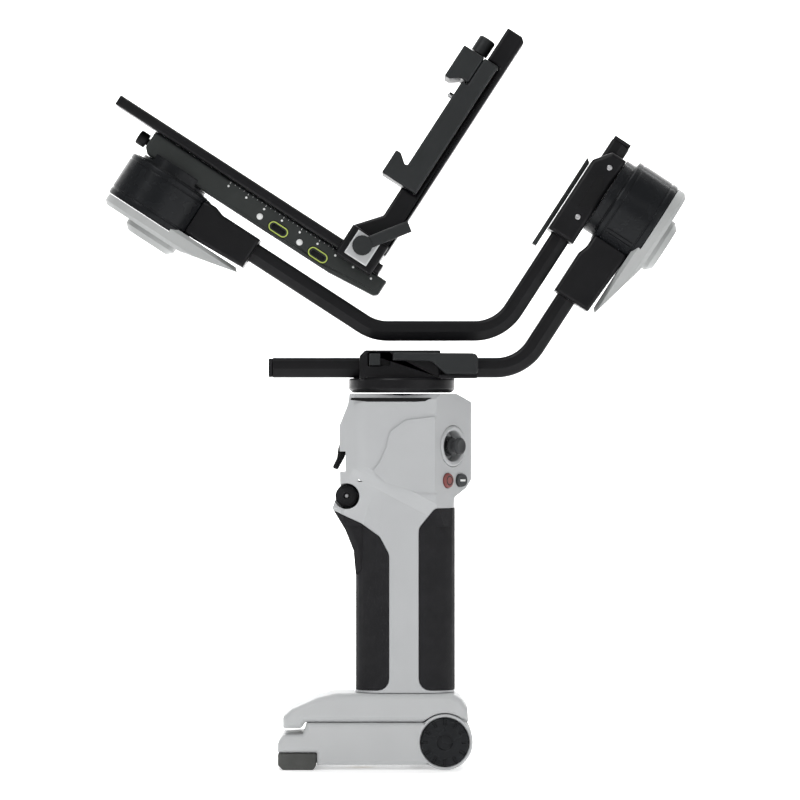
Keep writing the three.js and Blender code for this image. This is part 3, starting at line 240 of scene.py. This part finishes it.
def node_slot(node):
    for row in frame["record"]["subparts"]:
        if row["node"] == node:
            return row["material_slot"]
    return None


def stand_for(piece, node, mat):
    piece.data.materials.clear()
    piece.data.materials.append(mat)
    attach(piece, node_body(node))
    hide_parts(node)
    return piece


# many small faces meet on these, so their bevels stop before they cross
DELICATE = {
    "handle_shell_near", "handle_shell_far", "front_grip_pad", "rear_grip_pad", "roll_motor_cap",
    "tilt_motor_cap",
}


def refine(node, mat, width=0.35 * MM, segments=2, angle=32):
    """The CAD shape with merged faces, real rounded edges and a finish."""
    source = frame["nodes"][node]
    mesh = source.data.copy()
    mesh.transform(source.matrix_world)
    delicate = node in DELICATE
    ground(mesh, angle, not delicate)
    piece = bpy.data.objects.new("look_" + node, mesh)
    bpy.context.scene.collection.objects.link(piece)
    bevelled(piece, width, segments, angle, delicate)
    return stand_for(piece, node, mat)


def mesh_piece(name, verts, faces, place=None):
    mesh = bpy.data.meshes.new(name)
    mesh.from_pydata([tuple(v) for v in verts], [], faces)
    bm = bmesh.new()
    bm.from_mesh(mesh)
    bmesh.ops.remove_doubles(bm, verts=bm.verts, dist=1e-7)
    bmesh.ops.recalc_face_normals(bm, faces=bm.faces)
    for face in bm.faces:
        face.smooth = True
    bm.to_mesh(mesh)
    bm.free()
    if place is not None:
        mesh.transform(place)
    piece = bpy.data.objects.new(name, mesh)
    bpy.context.scene.collection.objects.link(piece)
    return piece


def turned(name, profile, place, steps=96):
    """A closed profile [(radius, height)] in millimetres turned round Z."""
    verts = []
    faces = []
    count = len(profile)
    for k in range(steps):
        a = 2 * math.pi * k / steps
        for r, z in profile:
            verts.append((r * MM * math.cos(a), r * MM * math.sin(a), z * MM))
    for k in range(steps):
        nxt = (k + 1) % steps
        for i in range(count):
            j = (i + 1) % count
            if profile[i][0] == 0 and profile[j][0] == 0:
                continue
            faces.append((k * count + i, nxt * count + i, nxt * count + j, k * count + j))
    return mesh_piece(name, verts, faces, place)


def prism(name, outline, depth, place, y=0.0):
    """An outline [(x, z)] in millimetres with its depth along Y, about y."""
    count = len(outline)
    verts = [(x * MM, (y - depth / 2) * MM, z * MM) for x, z in outline]
    verts += [(x * MM, (y + depth / 2) * MM, z * MM) for x, z in outline]
    faces = [tuple(range(count)), tuple(range(2 * count - 1, count - 1, -1))]
    for i in range(count):
        j = (i + 1) % count
        faces.append((i, j, count + j, count + i))
    return mesh_piece(name, verts, faces, place)


def trim(piece, body, mat, width=0.2 * MM, segments=2, angle=32):
    """A small added piece that only the looks have."""
    piece.data.materials.clear()
    piece.data.materials.append(mat)
    if width:
        bevelled(piece, width, segments, angle)
    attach(piece, body)
    return piece


# ---------- swept arms ----------

def bent_line(points, bend, steps=18):
    """Points and directions along a centre line with round corners, in X-Z."""
    line = []
    for i, point in enumerate(points):
        here = Vector(point)
        if i in (0, len(points) - 1):
            line.append(here)
            continue
        back = (Vector(points[i - 1]) - here).normalized()
        on = (Vector(points[i + 1]) - here).normalized()
        half = back.angle(on) / 2
        centre = here + (back + on).normalized() * bend / math.sin(half)
        start = here + back * bend / math.tan(half) - centre
        end = here + on * bend / math.tan(half) - centre
        turn = math.atan2(start.x * end.y - start.y * end.x, start.dot(end))
        for k in range(steps + 1):
            a = turn * k / steps
            line.append(centre + Vector((start.x * math.cos(a) - start.y * math.sin(a),
                                         start.x * math.sin(a) + start.y * math.cos(a))))
    return line


def arm_section(flip):
    """Half outline (across, depth) of the arm: flat above, a groove line, then a face that leans in."""
    h = ARM_HEIGHT / MM / 2
    d = ARM_DEPTH / MM / 2
    half = [(h, d - 1.9), (h - 0.35, d - 0.9), (h - 1.1, d - 0.25), (h - 2.1, d),
            (-0.7, d), (-0.95, d - 0.3), (-1.2, d - 0.35), (-h + 1.2, d - 1.7), (-h + 0.35, d - 2.6), (-h, d - 3.8)]
    whole = half + [(u, -v) for u, v in reversed(half)]
    return [(u * flip * MM, v * MM) for u, v in whole]


def sweep_arm(name, points, place, flip):
    line = bent_line(points, ARM_BEND)
    section = arm_section(flip)
    verts = []
    for i, point in enumerate(line):
        before = line[max(i - 1, 0)]
        after = line[min(i + 1, len(line) - 1)]
        along = (after - before).normalized()
        up = Vector((-along.y, along.x))
        for u, v in section:
            verts.append((point.x + up.x * u, v, point.y + up.y * u))
    count = len(section)
    faces = [tuple(range(count)), tuple(range(len(verts) - 1, len(verts) - count - 1, -1))]
    for k in range(len(line) - 1):
        for i in range(count):
            j = (i + 1) % count
            faces.append((k * count + i, k * count + j, (k + 1) * count + j, (k + 1) * count + i))
    return mesh_piece(name, verts, faces, place)


def arms():
    socket_x = ROLL_SEAM.x + 7 * MM
    socket_z = ROLL_SEAM.z - 31 * MM
    c, s = math.cos(LEAN), math.sin(LEAN)
    end = (socket_x * c + socket_z * s, PAN_ARM_Z - socket_x * s + socket_z * c)
    pan_path = [(PAN_ARM_LOW[0] - PAN_X, PAN_ARM_Z), (socket_x / c, PAN_ARM_Z), end]
    pan = sweep_arm("look_pan_arm", pan_path, HANDLE, 1)
    bevelled(pan, 0.25 * MM, 2, 50)
    stand_for(pan, "pan_arm", ANODISED)
    x = ROLL_SEAM.x - 13.5 * MM
    low = TILT_SEAM.z - 10.5 * MM
    knee = -23.4 * MM
    path = [(x, ROLL_SEAM.z + 27.1 * MM), (x, low + (x - knee) * math.tan(LEAN)), (knee, low),
            (TILT_SEAM.x + 31 * MM, low)]
    roll = sweep_arm("look_roll_arm", path, CRADLE, -1)
    bevelled(roll, 0.25 * MM, 2, 50)
    stand_for(roll, "roll_arm", ANODISED)


# ---------- motors ----------

def motor(name, place, body, rotor_body):
    inner = 23.2
    case = turned(f"look_{name}_motor_case", [
        (6.2, 23.6), (inner, 23.6), (inner, 0.3), (24.2, 0.3), (24.7, 0.5), (25, 1.1), (25, 3.2), (24.6, 3.4),
        (24.6, 3.9), (25, 4.1), (25, 21.2), (24.55, 21.5), (24.55, 22.1), (25, 22.4), (25, 24.6), (24.7, 25.3),
        (24, 25.6), (6.2, 25.6)], place, 128)
    bevelled(case, 0.12 * MM, 2, 25)
    stand_for(case, f"{name}_motor_case", CASING)
    for k, angle in enumerate((-52, -46)):
        a = math.radians(angle)
        turn = place @ Matrix.Rotation(a, 4, "Z") @ Matrix.Translation((MOTOR_RADIUS - 0.05 * MM, 0, 0))
        rib = prism(f"{name}_case_rib_{k + 1}", [(0, 4.6), (0.5, 5.2), (0.5, 20.2), (0, 20.8)], 0.8, turn)
        trim(rib, body, CASING, 0.12 * MM)


# ---------- handle details ----------

def head_details():
    face = -HEAD_FACE / MM
    top = HEAD_TOP / MM
    vent = [(-27, top - 2.2), (16, top - 2.2), (12.5, top - 4), (8, top - 4.3), (-18, top - 4.3), (-27.6, top - 3.4)]
    # the vent is a thin near-black plate on the face: painted shade in place of a cut slot
    trim(prism("head_vent", vent, 0.7, HANDLE, face + 0.1), "root", RECESS_SHADE, 0.12 * MM)


def bar_marks():
    """Printed dots and the scale on the tilt bar's near face."""
    face = -14.0
    z = BAR_Z / MM
    tilt_x = TILT_SEAM.x / MM
    for k in range(9):
        x = tilt_x + 28.4 + 11.4 * k
        dot = turned(f"scale_dot_{k + 1}", [(0, 0), (0.62, 0), (0.62, 0.06), (0, 0.06)],
                     CRADLE @ Matrix.Translation((x * MM, face * MM, (z + 9.6) * MM)) @ Matrix.Rotation(math.pi / 2, 4, "X"), 20)
        trim(dot, "tilt", WHITE, 0)
    for k, x in enumerate((51.4, 76.8)):
        mark = turned(f"port_mark_{k + 1}", [(0, 0), (1.7, 0), (1.7, 0.07), (0, 0.07)],
                      CRADLE @ Matrix.Translation(((tilt_x + x) * MM, face * MM, (z + 5.0) * MM)) @ Matrix.Rotation(math.pi / 2, 4, "X"), 24)
        trim(mark, "tilt", WHITE, 0)
    for k in range(24):
        x = tilt_x + 28.4 + 2.85 * k
        tall = 1.1 if k % 4 == 0 else 0.6
        tick = prism(f"scale_tick_{k + 1}", [(x - 0.12, z + 12.2 - tall), (x + 0.12, z + 12.2 - tall),
                                             (x + 0.12, z + 12.2), (x - 0.12, z + 12.2)], 0.06, CRADLE, face - 0.02)
        trim(tick, "tilt", WHITE, 0)


def local_box(node, place):
    """The box of a CAD node in a turned frame, in millimetres."""
    source = frame["nodes"][node]
    turn = place.inverted() @ source.matrix_world
    points = [turn @ vertex.co / MM for vertex in source.data.vertices]
    return [(min(p[k] for p in points), max(p[k] for p in points)) for k in range(3)]


def oval(middle_x, middle_z, length, height, steps=14):
    radius = height / 2
    half = length / 2 - radius
    points = []
    for side in (1, -1):
        for k in range(steps + 1):
            a = -math.pi / 2 + math.pi * k / steps
            points.append((middle_x + side * (half + radius * math.cos(a)),
                           middle_z + side * radius * math.sin(a)))
    return points


def oval_ring(name, middle_x, middle_z, length, height, rim, front, back, place):
    outer = oval(middle_x, middle_z, length, height)
    inner = oval(middle_x, middle_z, length - 2 * rim, height - 2 * rim)
    loops = [[(x, y, z) for x, z in loop] for loop, y in
             ((outer, front), (inner, front), (inner, back), (outer, back))]
    count = len(outer)
    verts = [Vector(point) * MM for loop in loops for point in loop]
    faces = []
    for band in range(4):
        after = (band + 1) % 4
        for k in range(count):
            step = (k + 1) % count
            faces.append((band * count + k, band * count + step, after * count + step, after * count + k))
    return mesh_piece(name, verts, faces, place)


PANEL_TURN = math.radians(52)


def panel_frame(node):
    """The middle of a control's outer face, with -Y out of the thumb panel."""
    source = frame["nodes"][node]
    points = [source.matrix_world @ vertex.co for vertex in source.data.vertices]
    out = Vector((math.sin(PANEL_TURN), -math.cos(PANEL_TURN), 0))
    middle = sum(points, Vector()) / len(points)
    reach = max(point.dot(out) for point in points) - middle.dot(out)
    return Matrix.Translation(middle + out * reach) @ Matrix.Rotation(PANEL_TURN, 4, "Z")


def button_marks():
    """A light bar on the mode button and a fine ring round the record button's face."""
    bar = [(-2.2, -0.55), (2.2, -0.55), (2.2, 0.55), (-2.2, 0.55)]
    trim(prism("mode_bar", bar, 0.12, panel_frame("mode_button"), -0.06), "mode", WHITE, 0)
    ring = oval_ring("record_ring", 0, 0, 5.2, 5.18, 0.5, -0.1, 0.2, panel_frame("record_button"))
    trim(ring, "record", GREY, 0)


def port_rims():
    """A thin bright line round each socket."""
    for node in ("usb_port_left", "usb_port_right"):
        (left, right), (near, far), (low, high) = local_box(node, CRADLE)
        ring = oval_ring(node + "_rim", (left + right) / 2, (low + high) / 2, right - left + 0.5,
                         high - low + 0.5, 0.6, near - 0.12, near + 0.3, CRADLE)
        trim(ring, "tilt", PORT, 0.05 * MM)


def roll_clamp_details():
    face = -17.0
    x = ROLL_SEAM.x / MM - 11.8
    z = ROLL_SEAM.z / MM
    for k, dz in enumerate((12.4, -18.9)):
        place = CRADLE @ Matrix.Translation((x * MM, face * MM, (z + dz) * MM)) @ Matrix.Rotation(math.pi / 2, 4, "X")
        pin = turned(f"roll_clamp_pin_{k + 1}", [(0, -0.5), (1.5, -0.5), (1.5, 0.3), (1.2, 0.55), (0.5, 0.5), (0, 0.2)],
                     place, 32)
        trim(pin, "roll", STEEL, 0)
    recess = [(x - 3.2, z - 14), (x + 3.4, z - 12), (x + 3.4, z + 1), (x - 0.8, z + 7.5), (x - 3.2, z + 5)]
    # the recess is a thin near-black plate on the face: painted shade in place of a cut
    trim(prism("roll_clamp_recess", recess, 0.5, CRADLE, face + 0.1), "roll", RECESS_SHADE, 0.1 * MM)


# ---------- carried-over shapes ----------

FINISHES = {
    "shell_plastic": SHELL, "base_plastic": BASE, "grip_rubber": GRIP, "foot_rubber": FOOT,
    "black_anodised": ANODISED, "motor_casing": CASING, "dark_grey": GREY, "cap_plastic": CAP, "steel": STEEL,
    "silver_plate": SILVER, "copper": COPPER, "board": BOARD, "brass": BRASS, "record_red": RED,
    "port_ring": PORT, "control_dark": CONTROL,
}
WIDTHS = {
    "handle_shell_near": 0.9, "handle_shell_far": 0.9, "base_housing": 0.9, "wrist_rest_arm": 0.7,
    "rubber_foot": 0.8, "front_grip_pad": 0.5, "rear_grip_pad": 0.5, "roll_motor_cap": 0.9,
    "tilt_motor_cap": 0.9, "pan_arm_clamp": 0.5, "camera_upright": 0.5, "clamp_block": 0.5, "clamp_jaw": 0.5,
    "tilt_bar": 0.5, "camera_rail": 0.4, "roll_motor_bracket": 0.7, "tilt_motor_bracket": 0.7,
    "roll_arm_clamp": 0.6, "trigger": 0.5, "control_wheel": 0.5,
}
SPECIAL = {"tilt_bar": BAR, "usb_port_left": GREY, "usb_port_right": GREY}
MADE = {"pan_arm", "roll_arm", "roll_motor_case", "tilt_motor_case"}


def carried():
    for node in frame["nodes"]:
        if node in MADE:
            continue
        mat = SPECIAL.get(node) or FINISHES[node_slot(node)]
        refine(node, mat, WIDTHS.get(node, 0.25) * MM)


# ---------- stage, light and camera ----------

FLOOR_GLOW = 0.36


def stage():
    width, near, far, rise = 6.0, -4.0, 1.6, 3.2
    bend = 0.8
    profile = [(near, 0.0), (far, 0.0)]
    steps = 16
    for k in range(1, steps + 1):
        a = math.pi / 2 * k / steps
        profile.append((far + bend * math.sin(a), bend - bend * math.cos(a)))
    profile.append((far + bend, rise))
    verts = [(side * width, y, z) for y, z in profile for side in (-1, 1)]
    faces = [(2 * i, 2 * i + 1, 2 * i + 3, 2 * i + 2) for i in range(len(profile) - 1)]
    mesh = bpy.data.meshes.new("floor")
    mesh.from_pydata(verts, [], faces)
    for polygon in mesh.polygons:
        polygon.use_smooth = True
    floor = bpy.data.objects.new("floor", mesh)
    bpy.context.scene.collection.objects.link(floor)
    mat = grained("floor_white", (0.9, 0.9, 0.9), 0.7, grain=300, bump=0.02, vary=0.004, soil=2)
    glow = mat.node_tree.nodes["Principled BSDF"]
    glow.inputs["Emission Color"].default_value = (1, 1, 1, 1)
    glow.inputs["Emission Strength"].default_value = FLOOR_GLOW
    floor.data.materials.append(mat)


def area(name, place, aim, size, power):
    data = bpy.data.lights.new(name, "AREA")
    data.energy = power
    data.shape = "RECTANGLE"
    data.size, data.size_y = size
    lamp = bpy.data.objects.new(name, data)
    lamp.location = place
    lamp.rotation_euler = (Vector(aim) - Vector(place)).to_track_quat("-Z", "Y").to_euler()
    bpy.context.scene.collection.objects.link(lamp)


def light_and_camera():
    middle = (0, 0, 0.2)
    area("key", (-0.7, -1.3, 1.5), middle, (0.9, 0.9), 14)
    area("fill", (1.2, -1.5, 0.5), middle, (1.4, 1.2), 4.5)
    area("top", (0.1, 0.2, 1.6), middle, (1.4, 1.0), 7)
    area("back", (0, 1.0, 1.6), (0, 1.9, 0.7), (3.0, 1.0), 70)
    world = bpy.data.worlds.new("studio")
    world.use_nodes = True
    world.node_tree.nodes["Background"].inputs["Color"].default_value = (1, 1, 1, 1)
    world.node_tree.nodes["Background"].inputs["Strength"].default_value = 0.32
    bpy.context.scene.world = world
    bpy.context.scene.view_settings.view_transform = "Standard"
    frame_width = 0.432
    distance = 2.6
    data = bpy.data.cameras.new("camera")
    data.sensor_width = 36
    data.lens = 36 * distance / frame_width
    camera = bpy.data.objects.new("camera", data)
    camera.location = (PAN_X - 0.001, -distance, 0.1982)
    camera.rotation_euler = (math.pi / 2, 0, 0)
    bpy.context.scene.collection.objects.link(camera)
    bpy.context.scene.camera = camera


light_and_camera()
arms()
motor("roll", ROLL, "pan_arm", "roll")
motor("tilt", TILT, "roll_arm", "tilt")
carried()
head_details()
bar_marks()
port_rims()
button_marks()
roll_clamp_details()
stage()
